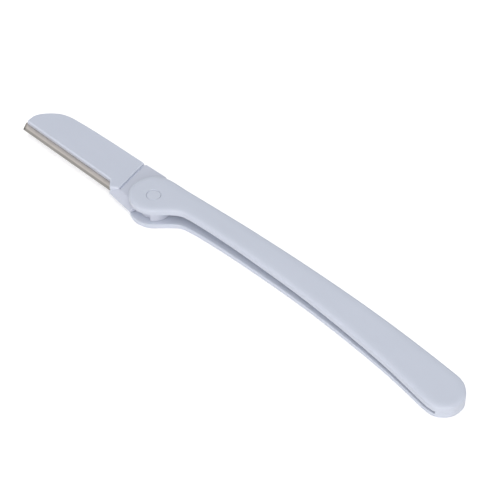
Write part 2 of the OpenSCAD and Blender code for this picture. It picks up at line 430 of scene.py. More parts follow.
@dataclass
class PocketShell:
    """A moulded shell with a rounded outer face, whose inner side has a pocket open to one side.

    The outline starts where the pocket opens. Up to open_count it is the open side, and from
    there on it is the land, whose inner line is given.

    Attributes:
        outline: Points of the closed outline, anticlockwise, in mm.
        open_count: Index of the outline's point where the pocket closes again.
        inner: Inner line of the land, from that point on and back to the first one.
        edge: How far the outer face falls to its upright side.
        rim: Radius of the edge at the pocket's open side.
        break_edge: Width of the small chamfer at the seam.
        crowned: Width over which the outer face falls, or zero where its edge is round.
        edge_steps: Steps of the outer face's fall.
    """

    outline: Array
    open_count: int
    inner: Array
    edge: float
    rim: float
    break_edge: float
    crowned: float = 0.0
    edge_steps: int = 12

    def columns(self) -> tuple[Array, Array]:
        """Columns of the surface: the two points where the pocket opens and closes come twice.

        Returns:
            The index of each column's point, and whether the column is on the land.
        """
        n = len(self.outline)
        index = np.concatenate([np.arange(self.open_count + 1), np.arange(self.open_count, n), [0]])
        land = np.arange(len(index)) > self.open_count
        return index, land

    def layers(self, face: float, seam: float, floor: float, face_slope: float,
               floor_slope: float) -> list[Array]:
        """Rings from the outer face round its edge, down the side and into the pocket.

        Heights are counted from the outer face's side, so that the same rings serve a front
        shell as they are and a back shell mirrored.

        Args:
            face: Height of the outer face.
            seam: Height of the seam.
            floor: Height of the pocket's floor.
            face_slope: Fall of the outer face along +X.
            floor_slope: Fall of the pocket's floor along +X.

        Returns:
            The rings, in order.
        """
        index, land = self.columns()
        move = outwards(self.outline)
        sign = 1.0 if face > seam else -1.0

        def moved(depth: float) -> Array:
            """The columns' points, moved inwards by a depth."""
            return (self.outline - depth * move)[index]

        side = self.outline[index]
        inner = side - self.rim * move[index]
        inner[land] = self.inner
        way = inner - side
        width = np.linalg.norm(way, axis=1)
        way = way / np.maximum(width, MERGE)[:, None]
        cut = np.minimum(self.break_edge, width / 2)
        inset = self.crowned or self.edge
        section = (crown(self.crowned, self.edge, self.edge_steps) if self.crowned
                   else rounding(self.edge, self.edge_steps))
        rings = [ring(moved(inset + FLAT_RIM), face, face_slope)]
        rings += [ring(moved(depth), face - sign * fall, face_slope) for depth, fall in section]
        rings.append(ring(side, floor + sign * self.rim, floor_slope))
        level = np.full(len(cut), seam)
        land_steps = [(0 * cut, level + sign * cut), (cut, level), (width - cut, level),
                      (width, level + sign * cut), (width, None)]
        rim_steps = rounding(self.rim, len(land_steps))[-2::-1]
        for (depth, height), (rim_depth, fall) in zip(land_steps, rim_steps):
            open_ring = ring(side - rim_depth * move[index], floor + sign * fall, floor_slope)
            land_plan = side + depth[:, None] * way
            land_ring = (ring(land_plan, floor, floor_slope) if height is None
                         else ring(land_plan, height))
            rings.append(np.where(land[:, None], land_ring, open_ring))
        return rings

    def build(self, skin: Skin, face: float, seam: float, floor: float, face_slope: float = 0.0,
              floor_slope: float = 0.0, face_holes: list[Array] | None = None,
              floor_holes: list[Array] | None = None) -> None:
        """Adds the closed shell to a skin.

        Args:
            skin: Skin that takes the surface.
            face: Height of the outer face.
            seam: Height of the seam.
            floor: Height of the pocket's floor.
            face_slope: Fall of the outer face along +X.
            floor_slope: Fall of the pocket's floor along +X.
            face_holes: Index loops of holes in the outer face.
            floor_holes: Index loops of holes in the pocket's floor.
        """
        rings = self.layers(face, seam, floor, face_slope, floor_slope)
        upright = face > seam
        first, last = skin.wrap(rings if upright else rings[::-1])
        face_loop, floor_loop = (first, last) if upright else (last, first)
        skin.cap([face_loop, *(face_holes or [])], upright)
        skin.cap([floor_loop, *(floor_holes or [])], not upright)


def slab_rings(outline: Array, high: float, low: float, high_edge: float,
               low_edge: float) -> list[Array]:
    """Rings of a flat slab whose upper and lower edges are rounded by quarter circles.

    Args:
        outline: Closed outline, anticlockwise.
        high: Height of the upper face.
        low: Height of the lower face.
        high_edge: Radius of the upper edge.
        low_edge: Radius of the lower edge.

    Returns:
        The rings, from the upper face to the lower one.
    """
    move = outwards(outline)
    upper, lower = rounding(high_edge, SLAB_STEPS[0]), rounding(low_edge, SLAB_STEPS[1])
    return [ring(outline - (high_edge + FLAT_RIM) * move, high),
            *(ring(outline - depth * move, high - fall) for depth, fall in upper),
            *(ring(outline - depth * move, low + fall) for depth, fall in reversed(lower)),
            ring(outline - (low_edge + FLAT_RIM) * move, low)]


def round_hole(skin: Skin, steps: list[tuple[float, float]],
               slopes: list[float]) -> tuple[Array, Array]:
    """Adds the wall of a round hole on the pivot axis: circles of given radius and height.

    The circles run clockwise and from the top down, so that the wall faces the axis.

    Args:
        skin: Skin that takes the wall.
        steps: Radius and height of each circle.
        slopes: Fall of each circle's height along +X.

    Returns:
        The indices of the first circle and of the last one.
    """
    circle = arc(PIVOT, 1.0, 360, 360 / HOLE_STEPS, HOLE_STEPS - 1)
    return skin.wrap([ring(r * circle, z, s) for (r, z), s in zip(steps, slopes)])


def turned(skin: Skin, steps: list[tuple[float, float]], centre: Array, count: int) -> None:
    """Adds a solid of revolution: circles of given radius and height, closed at both ends.

    Args:
        skin: Skin that takes the solid.
        steps: Radius and height of each circle, from the top down.
        centre: Axis in the plan.
        count: Points on a circle.
    """
    circle = arc(PIVOT, 1.0, 0, 360 - 360 / count, count - 1)
    skin.solid([ring(centre + r * circle, z) for r, z in steps])


@dataclass
class Handle:
    """The handle: two moulded shells with a slot between their walls, and the pivot pin.

    Sizes are in mm and degrees. Shares are of the reach along X and of the rise along Y, and
    steps are counts of the short straight lines that make a curve.
    """

    # The plan, and the thickness at the pivot and at the tail.
    reach: float = 108.3
    rise: float = 8.8
    lobe_r: float = 7.2
    pivot_t: float = 7.4
    tail_t: float = 4.3
    # The walls, the closed spine, the seam's height and the solid end at the tail.
    wall_t: float = 1.9
    spine_w: float = 1.4
    seam_z: float = 2.2
    tail_solid: float = 3.9
    # The crown of the outer faces, the rim of the slot and the chamfer at the seam.
    crown_w: float = 2.4
    crown_fall: float = 0.6
    slot_rim: float = 0.16
    seam_break: float = 0.07
    # Fall of the walls' inner sides along +X, over that of the outer ones.
    back_lean: float = 0.0043
    front_lean: float = 0.0024
    # The pin: shaft, head, the head's edge and the flat inside it, and the foot's chamfer.
    pin_d: float = 3.0
    head_d: float = 4.1
    head_t: float = 1.0
    head_edge: float = 0.18
    head_flat: float = 0.08
    foot_break: float = 0.1
    # Its seats: depth in the back wall, edge in the front face, and clearance.
    seat: float = 1.2
    seat_edge: float = 0.16
    fit_gap: float = 0.04
    # The bosses: radius, drop from the spine, and how far they sink into the walls.
    boss_r: float = 1.59
    boss_drop: float = 2.59
    boss_sink: float = 0.28
    boss_stations: tuple[int, ...] = (2, 4, 6)
    # Front end of the spine's web, where the tang's shoulder stops.
    stop_x: float = -4.176
    lobe_arc: tuple[float, float] = (94.0, 321.0)
    lobe_shares: tuple[float, float] = (-0.0037, 0.08)
    mouth: tuple[tuple[float, float], ...] = (
        (0.072, -0.17), (0.095, 0.023), (0.129, 0.085), (0.193, 0.112), (0.274, 0.107),
        (0.355, 0.075), (0.446, 0.026), (0.537, -0.053), (0.629, -0.166), (0.72, -0.306),
        (0.802, -0.458), (0.872, -0.625), (0.928, -0.771), (0.96, -0.793))
    tail: tuple[tuple[float, float], ...] = (
        (0.98, -0.661), (0.995, -0.442), (1.0, -0.159), (0.997, 0.108), (0.98, 0.386),
        (0.955, 0.57))
    spine: tuple[tuple[float, float], ...] = (
        (0.91, 0.65), (0.83, 0.755), (0.74, 0.85), (0.645, 0.925), (0.545, 0.97),
        (0.445, 0.996), (0.345, 1.0), (0.245, 0.987), (0.152, 0.955), (0.061, 0.915))
    # Steps of the lobe's arc, and those from its ends to the points that give its slope there.
    lobe_steps: int = 26
    lobe_lead: int = 3
    # How many times finer the front of the lobe is, and the steps of its roof over the tang.
    front_finer: int = 4
    roof_steps: int = 12
    curve_steps: int = 12
    seat_steps: int = 4
    head_steps: int = 5
    pin_count: int = 96
    boss_count: int = 36

    @property
    def taper(self) -> float:
        """Fall of the front face along +X."""
        return (self.pivot_t - self.tail_t) / self.reach

    @property
    def centre(self) -> Array:
        """Centre of the lobe in the plan."""
        return np.array(self.lobe_shares) * (self.reach, self.rise)

    def scaled(self, shares: tuple[tuple[float, float], ...]) -> Array:
        """Shares of the reach and the rise as points in mm."""
        return np.array(shares) * (self.reach, self.rise)

    def stop_angle(self, radius: float) -> float:
        """Angle at which a circle about the lobe's centre crosses the web's front end."""
        return math.degrees(math.acos((self.stop_x - self.centre[0]) / radius))

    def shell(self) -> PocketShell:
        """Works out the plan that both shells share.

        The outline runs from the web's front end round the lobe and along the mouth to the
        slot's end, and back round the tail and along the spine. Its inner line is the slot's
        end, then the spine's line moved inwards, then a smaller circle over the lobe.

        Returns:
            The shell without its heights.
        """
        step = (self.lobe_arc[1] - self.lobe_arc[0]) / self.lobe_steps
        lobe = arc(self.centre, self.lobe_r, *self.lobe_arc, self.lobe_steps)
        stations = np.concatenate([lobe[[-1 - self.lobe_lead, -1]], self.scaled(self.mouth),
                                   self.scaled(self.tail), self.scaled(self.spine),
                                   lobe[[0, self.lobe_lead]]])
        edge = smooth_curve(stations, self.curve_steps)
        slot_end = self.reach - self.tail_solid
        cross = int(np.argmax(edge[:, 0] > slot_end))
        a, b = edge[cross - 1], edge[cross]
        close = a + (b - a) * (slot_end - a[0]) / (b[0] - a[0])
        top = self.stop_angle(self.lobe_r)
        front = arc(self.centre, self.lobe_r, top, self.lobe_arc[1],
                    int((self.lobe_arc[1] - top) / step) * self.front_finer)[:-1]
        roof = arc(self.centre, self.lobe_r, self.lobe_arc[0], top, self.roof_steps)
        outline = np.concatenate([front, edge[:cross], [close], edge[cross:], roof[:-1]])
        opened = len(front) + cross
        deep = (outline - self.spine_w * outwards(outline))[opened:-len(roof) + 1]
        turn = int(np.argmax((deep[:, 0] < slot_end) & (deep[:, 1] > 0)))
        shares = length_shares(outline[opened:opened + turn + 1])[:-1, None]
        low = close + (0, self.slot_rim)
        high = np.array([slot_end, deep[turn, 1]])
        slot_line = (low * (1 - shares) + high * shares) * (0, 1) + (slot_end, 0)
        inner_r = self.lobe_r - self.spine_w
        under_roof = arc(self.centre, inner_r, self.lobe_arc[0], self.stop_angle(inner_r),
                         self.roof_steps)
        inner = np.concatenate([slot_line, deep[turn:], under_roof])
        return PocketShell(outline, opened, inner, self.crown_fall, self.slot_rim,
                           self.seam_break, self.crown_w)

    def bosses(self, skin: Skin, low: float, high: float, slope: float = 0.0) -> None:
        """Adds the bosses under the spine, cylinders from one height to another.

        Args:
            skin: Skin that takes them.
            low: Height of their lower ends.
            high: Height of their upper ends over the pivot.
            slope: Fall of their upper ends along +X.
        """
        for k in self.boss_stations:
            axis = self.scaled(self.spine)[k] - (0, self.boss_drop)
            top = high - slope * axis[0]
            turned(skin, [(self.boss_r, top), (self.boss_r, low)], axis, self.boss_count)

    def back(self) -> bpy.types.Object:
        """Builds the back shell: its outer face lies at height zero, and the pin's seat is blind.

        Returns:
            The shell.
        """
        skin = Skin()
        r, depth = self.pin_d / 2, self.wall_t - self.seat
        mouth, foot = round_hole(skin, [(r, self.wall_t), (r, depth)], [self.back_lean, 0])
        skin.cap([foot[::-1]], True)
        self.shell().build(skin, 0.0, self.seam_z, self.wall_t, 0.0, self.back_lean,
                           floor_holes=[mouth])
        self.bosses(skin, self.wall_t - self.boss_sink, self.seam_z)
        return skin.make("back_handle_shell_moulded")

    def front(self) -> bpy.types.Object:
        """Builds the front shell: its outer face falls to the tail, with the pin head's seat.

        Returns:
            The shell.
        """
        skin = Skin()
        r, wide = self.pin_d / 2, self.head_d / 2 + self.fit_gap
        roof, floor = self.pivot_t, self.pivot_t - self.wall_t
        shelf = self.pivot_t - self.head_t
        steps = [(wide + self.seat_edge + FLAT_RIM, roof)]
        steps += [(wide + depth, roof - fall)
                  for depth, fall in rounding(self.seat_edge, self.seat_steps)]
        slopes = [self.taper] * len(steps)
        steps += [(wide, shelf), (r, shelf), (r, floor)]
        floor_fall = self.taper + self.front_lean
        slopes += [0.0, 0.0, floor_fall]
        mouth, foot = round_hole(skin, steps, slopes)
        self.shell().build(skin, roof, self.seam_z, floor, self.taper, floor_fall,
                           [mouth], [foot])
        self.bosses(skin, self.seam_z, floor + self.boss_sink, self.taper)
        return skin.make("front_handle_shell_moulded")

    def pin(self) -> bpy.types.Object:
        """Builds the pin: a shaft with a flat round head, turned about the pivot axis.

        Returns:
            The pin.
        """
        skin = Skin()
        head, r = self.head_d / 2, self.pin_d / 2
        top = self.pivot_t - self.taper * head
        shelf, foot = self.pivot_t - self.head_t, self.wall_t - self.seat
        steps = [(head - self.head_edge - self.head_flat, top)]
        steps += [(head - depth, top - fall)
                  for depth, fall in rounding(self.head_edge, self.head_steps)]
        steps += [(head, shelf), (r, shelf), (r, foot + self.foot_break),
                  (r - self.foot_break, foot)]
        turned(skin, steps, PIVOT, self.pin_count)
        return skin.make("pivot_pin_turned")


@dataclass
class BladeUnit:
    """The folding part: tang, steel strip, and the two covers that clasp it.

    Sizes are in mm and degrees. Shares are of the rise, the heel's drop, the hub's radius or
    the strip's width, and steps are counts of the short straight lines that make a curve.
    """

    # The covers: plan, height and thickness.
    reach: float = 53.4
    rise: float = 10.5
    cover_end: float = 12.3
    end_lean: float = 1.4
    end_share: float = 0.958
    heel_drop: float = 4.8
    heel_share: float = 0.85
    heel_run: float = 2.4
    tip_nose: float = 0.3
    holder_z: float = 2.1
    holder_t: float = 2.8
    back: tuple[tuple[float, float], ...] = (
        (0.38, 0.973), (0.51, 0.99), (0.64, 1.0), (0.75, 0.996), (0.835, 0.975), (0.893, 0.9),
        (0.94, 0.742), (0.979, 0.535), (0.998, 0.345), (0.998, 0.17))
    # Their outer edge, the chamfer where they meet, their corners and their cut corner.
    cover_edge: float = 0.5
    cover_break: float = 0.07
    corner_r: float = 0.6
    cut_r: float = 0.65
    # The steel's pocket: clearance, rim, start over the heel, and land left at the nose.
    fit_gap: float = 0.04
    pocket_rim: float = 0.05
    pocket_foot: float = 0.35
    nose_land: float = 0.12
    # The strip: size, how much of it shows, its ground edge, tilt, slanted end and clip, and
    # the angle past which its edges are sharp.
    steel_l: float = 38.5
    steel_w: float = 7.8
    steel_t: float = 0.3
    steel_show: float = 2.4
    grind_w: float = 0.8
    steel_land: float = 0.04
    steel_tilt: float = 2.7
    steel_slant: float = 33.0
    clip: tuple[float, float] = (0.28, 0.33)
    steel_sharp: float = 5.0
    # The tang's root plate: step below the covers, sloping side and the land at its foot.
    root_step: float = 0.3
    slope_w: float = 2.1
    slope_land: float = 0.5
    slope_blend: float = 0.03
    # Its plan: bulge, notch, shoulder, and the points that lie hidden in the handle.
    bulge_drop: float = 6.0
    bulge_share: float = 0.73
    bulge_r: float = 0.5
    notch_share: float = 0.56
    stop_x: float = -4.276
    shoulder_r: float = 0.9
    shoulder_share: float = 0.945
    root_r: float = 0.4
    hidden: tuple[tuple[float, float], ...] = ((-1.0, -2.6), (-2.4, -0.5))
    soft: float = 0.14
    # The groove before the covers, the toe in their cut corner, and the neck under both.
    groove: float = 0.6
    tuck: float = 0.15
    toe_run: float = 0.5
    toe_r: float = 0.25
    buried: float = 0.8
    neck_foot: float = 0.35
    neck_head: float = 0.2
    neck_share: float = 0.2
    # The hub, its bore and its notch.
    hub_r: float = 5.2
    hub_z: float = 2.0
    hub_top: float = 5.25
    bore_r: float = 1.55
    notch_r: float = 4.0
    notch_arc: tuple[float, float] = (237.0, 301.0)
    notch_soft: float = 0.25
    notch_lead: float = 6.0
    # Steps of curves and corners. The tip's corner takes the place of the curve's last points.
    curve_steps: int = 12
    tip_lead: int = 4
    tip_steps: int = 7
    corner_steps: int = 8
    small_steps: int = 6
    soft_steps: int = 5
    under_steps: int = 4
    shoulder_steps: int = 16
    notch_steps: int = 32
    hub_steps: int = 140
    # Steps of the straight lines in each plan, and of the strip across and along.
    foot_steps: tuple[int, ...] = (90, 10)
    end_steps: tuple[int, ...] = (8, 40)
    root_steps: tuple[int, ...] = (28, 6, 5, 4, 6, 5, 20, 20, 38, 4, 10)
    neck_steps: tuple[int, ...] = (3, 60, 3, 60)
    hub_sides: tuple[int, ...] = (3, 3)
    steel_rows: tuple[int, ...] = (4, 5, 7)
    steel_steps: int = 80
    # Mesh of the net on the sloping face, and how near it comes to the face's edge.
    net_step: float = 0.3
    net_gap: float = 0.16

    @property
    def end_top(self) -> Array:
        """Upper end of the line where the covers end."""
        return np.array([-self.cover_end - self.end_lean, self.end_share * self.rise])

    @property
    def end_foot(self) -> Array:
        """Lower end of that line, were the covers' corner not cut."""
        return np.array([-self.cover_end + self.end_lean, -self.heel_drop])

    @property
    def heel(self) -> Array:
        """Heel of the steel's edge."""
        return np.array([-self.cover_end - self.end_lean, -self.heel_share * self.heel_drop])

    @property
    def bulge(self) -> Array:
        """Lowest point of the tang, before its notch."""
        return np.array([-self.bulge_share * self.hub_r, -self.bulge_drop])

    @property
    def cut_top(self) -> Array:
        """Upper end of the covers' cut corner, where the slope's upper side meets their end."""
        way = unit(self.end_top - self.end_foot)
        return self.end_foot + way * self.slope_w / float(self.inward(self.end_foot + way))

    @property
    def root_z(self) -> float:
        """Height of the root plate's back face."""
        return self.holder_z + self.root_step

    @property
    def steel_z(self) -> float:
        """Height of the steel's back face."""
        return self.holder_z + (self.holder_t - self.steel_t) / 2

    @property
    def clip_low(self) -> Array:
        """Corner between the strip's slanted end and its clip, in the strip's own frame."""
        y = self.clip[1] * self.steel_w
        return np.array([-self.steel_l - y * math.tan(math.radians(self.steel_slant)), y])

    @property
    def clip_high(self) -> Array:
        """Corner between the strip's clip and its upper side, in the strip's own frame."""
        return np.array([self.clip[0] * self.steel_w - self.steel_l, self.steel_w])

    def on_steel(self, points: Array) -> Array:
        """Takes points from the strip's own frame, its heel at zero, to the razor's.

        They are turned by the strip's tilt, clockwise, and moved to the heel.

        Args:
            points: Points with X along the edge and Y into the covers.

        Returns:
            The points in the plan.
        """
        turn = math.radians(self.steel_tilt)
        x, y = points[..., 0], points[..., 1]
        return self.heel + np.stack([x * math.cos(turn) + y * math.sin(turn),
                                     y * math.cos(turn) - x * math.sin(turn)], axis=-1)

    def steel_end(self, y: Array) -> Array:
        """Where the strip ends at a height over its edge: a slant, and a clip above its corner.

        Args:
            y: Heights over the edge.

        Returns:
            A place along the strip for each height.
        """
        low, high = self.clip_low, self.clip_high
        slant = -self.steel_l - y * math.tan(math.radians(self.steel_slant))
        share = (y - low[1]) / (high[1] - low[1])
        return np.where(y < low[1], slant, low[0] + share * (high[0] - low[0]))

    def holder(self) -> PocketShell:
        """Works out the plan that both covers share, and the steel's pocket in the back one.

        The outline runs from the nose, where the steel's end leaves the covers, along the foot
        line to the heel, and back along the cut corner, the end line, the back and the tip. The
        pocket closes half way round the heel's corner, and its inner line is the strip's own
        plan, a little larger.

        Returns:
            The shell without its heights.
        """
        stations = np.array(self.back) * (-self.reach, self.rise)
        fall = math.tan(math.radians(self.steel_tilt))
        foot_heel = self.heel + (-self.heel_run, self.steel_show + self.heel_run * fall)
        tip_x = self.tip_nose - self.reach
        foot_tip = np.array([tip_x, foot_heel[1] + (foot_heel[0] - tip_x) * fall])
        first, last = self.end_top, stations[-1]
        round_back = smooth_curve(np.concatenate([[2 * first - stations[0], first], stations,
                                                  [foot_tip, 2 * foot_tip - last]]),
                                  self.curve_steps)
        clip_low, clip_high = self.on_steel(np.stack([self.clip_low, self.clip_high]))
        way = clip_high - clip_low
        side = (round_back - clip_low) @ left_of(way)
        nose = len(side) - int(np.argmax(side[::-1] > 0))
        lead, half = self.curve_steps // 2, self.corner_steps // 2
        r, count = self.corner_r, self.corner_steps
        tip = soft_corner(round_back[-1], foot_tip, foot_heel, r, self.tip_steps)
        bend = soft_corner(foot_tip, foot_heel, self.heel, r, count)
        toe = soft_corner(foot_heel, self.heel, self.cut_top, r, count)
        foot = soft_corner(self.heel, self.cut_top, self.end_top, self.cut_r, count)
        head = soft_corner(self.end_foot, self.end_top, round_back[lead], r, count)
        opened = chain([np.concatenate([round_back[nose:-self.tip_lead], tip]), bend,
                        toe[:half]], self.foot_steps)
        right = chain([toe[half:], foot, head], self.end_steps)
        above = round_back[lead:nose]
        outline = np.concatenate([opened, right, above])
        gap, top = self.fit_gap, self.steel_w + self.fit_gap
        up = self.on_steel(np.array([[gap, self.pocket_foot], [gap, top]]))
        over = self.on_steel(np.array([[gap, top], [self.clip_high[0], top]]))
        to_nose = round_back[nose] + self.nose_land * unit(way)
        inner_above = along(np.concatenate([over, [to_nose]]),
                            length_shares(np.concatenate([above, [round_back[nose]]])))
        inner = np.concatenate([along(up, length_shares(right)), inner_above])
        return PocketShell(outline, len(opened), inner, self.cover_edge, self.pocket_rim,
                           self.cover_break)

    def back_cover(self) -> bpy.types.Object:
        """Builds the back cover, with the steel's pocket in its inner side.

        Returns:
            The cover.
        """
        skin = Skin()
        self.holder().build(skin, self.holder_z, self.steel_z + self.steel_t, self.steel_z)
        return skin.make("back_blade_cover_moulded")

    def front_cover(self) -> bpy.types.Object:
        """Builds the front cover, a slab over the steel with a rounded outer edge.

        Returns:
            The cover.
        """
        skin = Skin()
        skin.solid(slab_rings(self.holder().outline, self.holder_z + self.holder_t,
                              self.steel_z + self.steel_t, self.cover_edge, self.cover_break))
        return skin.make("front_blade_cover_moulded")

    def steel(self) -> bpy.types.Object:
        """Builds the steel strip: its section, ground at the edge, carried along the strip.

        Returns:
            The strip.
        """
        skin = Skin()
        stops = (0.0, self.grind_w, self.clip_low[1], self.steel_w)
        rows = np.concatenate([[0.0], *(np.linspace(a, b, count)[1:] for a, b, count
                                        in zip(stops, stops[1:], self.steel_rows))])
        thin = (self.steel_t - self.steel_land) / 2 * np.clip(1 - rows / self.grind_w, 0, 1)
        y = np.concatenate([rows, rows[::-1]])
        z = np.concatenate([thin, (self.steel_t - thin)[::-1]])
        share = np.linspace(1, 0, self.steel_steps + 1)[:, None]
        x = self.steel_end(y)[None, :] * (1 - share)
        plan = self.on_steel(np.stack([x, np.broadcast_to(y, x.shape)], axis=-1))
        first, last = skin.wrap([ring(p, self.steel_z + z) for p in plan])
        n = len(rows)
        at = np.arange(n - 1)
        pairs = np.stack([at, at + 1, 2 * n - 2 - at, 2 * n - 1 - at], axis=1)
        skin.faces.append(first[pairs])
        skin.faces.append(last[pairs][:, ::-1])
        return skin.make("steel_blade_ground", self.steel_sharp)

    def inward(self, plan: Array) -> Array:
        """How far points lie inside the line from the end line's foot to the bulge."""
        return (plan - self.end_foot) @ left_of(unit(self.bulge - self.end_foot))

    def slope_top(self, plan: Array) -> Array:
        """Height of the tang's front face: flat, and sloping down to a land at its lower side.

        The two are joined by a smooth lesser value: half of their sum, less half of the root of
        their difference's square plus a little.

        Args:
            plan: Points in the plan.

        Returns:
            A height for each point.
        """
        low, high = self.root_z + self.slope_land, self.root_z + self.holder_t - 2 * self.root_step
        rising = low + self.inward(plan) * (high - low) / self.slope_w
        return (rising + high - np.sqrt((rising - high) ** 2 + self.slope_blend)) / 2

    def root_plan(self) -> Array:
        """Outline of the tang's root plate, anticlockwise from the toe.

        It runs along the lower side to the bulge and the notch, under the handle to the
        shoulder, and back along the upper side and the groove.

        Returns:
            The points, one row each.
        """
        notch = np.array([-self.notch_share * self.hub_r, -self.notch_r])
        centre = np.array([self.stop_x, self.shoulder_share * self.rise]) - self.shoulder_r
        shoulder = arc(centre, self.shoulder_r, 0, 90, self.shoulder_steps)
        way = unit(self.cut_top - self.heel)
        tuck = self.tuck * left_of(way)
        cut, fork = self.cut_top + tuck, self.cut_top + (self.groove, 0)
        low = soft_corner(self.heel, self.bulge, notch, self.bulge_r, self.corner_steps)
        toe = soft_corner(cut, self.heel + tuck - self.toe_run * way, self.bulge, self.toe_r,
                          self.small_steps)
        head = soft_corner(shoulder[-1], self.end_top + (self.groove, 0), fork, self.root_r,
                           self.small_steps)
        return chain([toe, low, notch, (0.0, -self.notch_r), *self.hidden, (self.stop_x, 0.0),
                      shoulder, head, fork, cut], self.root_steps)

    def root(self, skin: Skin) -> None:
        """Adds the root plate with its sloping side and its toe.

        The toe fills the covers' cut corner, and its edge lies a little inside of theirs.

        Args:
            skin: Skin that takes it.
        """
        plan = self.root_plan()
        move = outwards(plan)
        upper = [(self.soft + FLAT_RIM, 0.0), *rounding(self.soft, self.soft_steps)]
        lower = reversed(rounding(self.soft, self.under_steps))
        rings = [ring(plan - depth * move, self.slope_top(plan - depth * move) - fall)
                 for depth, fall in upper]
        rings += [ring(plan - depth * move, self.root_z + fall) for depth, fall in lower]
        first, last = skin.wrap(rings)
        skin.cap([first], True, self.slope_net(skin, first))
        skin.cap([last], False)

    def neck(self, skin: Skin) -> None:
        """Adds the neck that joins the root plate to the covers, at the bottom of their groove.

        Its faces lie inside the root plate's own by a share of the plate's thickness there.

        Args:
            skin: Skin that takes it.
        """
        foot, top = self.cut_top - (0, self.neck_foot), self.end_top - (0, self.neck_head)
        left, right = (-self.buried, 0), (self.groove + self.buried, 0)
        plan = chain([foot + left, foot + right, top + right, top + left], self.neck_steps)
        thick = self.slope_top(plan) - self.root_z
        skin.solid([ring(plan, self.root_z + (1 - self.neck_share) * thick),
                    ring(plan, self.root_z + self.neck_share * thick)])

    def hub(self, skin: Skin) -> None:
        """Adds the hub: a round slab with the bore, and the notch between two soft corners.

        Args:
            skin: Skin that takes it.
        """
        start, stop = self.notch_arc
        before, after = start - self.notch_lead, stop + self.notch_lead
        floor = arc(PIVOT, self.notch_r, start, stop, self.notch_steps)
        fall = soft_corner(self.on_hub(before), self.on_hub(start), floor[0], self.notch_soft,
                           self.soft_steps)
        rise = soft_corner(floor[-1], self.on_hub(stop), self.on_hub(after), self.notch_soft,
                           self.soft_steps)
        rim = arc(PIVOT, self.hub_r, after - 360, before, self.hub_steps)
        plan = chain([np.concatenate([rim, fall]), floor, rise], self.hub_sides)
        high_ring, low_ring = skin.wrap(slab_rings(plan, self.hub_top, self.hub_z, self.soft,
                                                   self.soft))
        mouth, foot = round_hole(skin, [(self.bore_r, self.hub_top), (self.bore_r, self.hub_z)],
                                 [0, 0])
        skin.cap([high_ring, mouth], True)
        skin.cap([low_ring, foot], False)

    def on_hub(self, angle: float) -> Array:
        """The point of the hub's rim at an angle."""
        return arc(PIVOT, self.hub_r, angle, angle, 1)[0]

    def tang(self) -> bpy.types.Object:
        """Builds the tang: its root plate, the neck to the covers, and its hub.

        Returns:
            The tang.
        """
        skin = Skin()
        self.root(skin)
        self.neck(skin)
        self.hub(skin)
        return skin.make("blade_tang_moulded")

    def slope_net(self, skin: Skin, loop: Array) -> Array:
        """Adds a net of points on the tang's front face, at the height of its slope.

        Args:
            skin: Skin that takes the points.
            loop: Indices of the face's edge.

        Returns:
            The indices of the net's points.
        """
        edge = np.concatenate(skin.points)[loop, :2]
        x, y = (np.arange(edge[:, k].min(), edge[:, k].max(), self.net_step) for k in (0, 1))
        net = np.stack(np.meshgrid(x, y), axis=-1).reshape(-1, 2)
        near = np.linalg.norm(net[:, None] - edge[None], axis=2).min(axis=1)
        net = net[inside(net, edge) & (near > self.net_gap)]
        return skin.add(ring(net, self.slope_top(net)))


@dataclass(frozen=True)
class Socket:
    """One named input or output of a node group.

    Attributes:
        name: Name of the socket.
        kind: Kind of the socket, as the interface calls it.
        default: Value that it has when nothing is linked.
    """

    name: str
    kind: str = "NodeSocketFloat"
    default: float | None = None


class Mixed(Enum):
    """What a mix is of: the kind of its data, its two inputs and its output."""

    COLOURS = ("RGBA", (6, 7), 2)
    NUMBERS = ("FLOAT", (2, 3), 0)


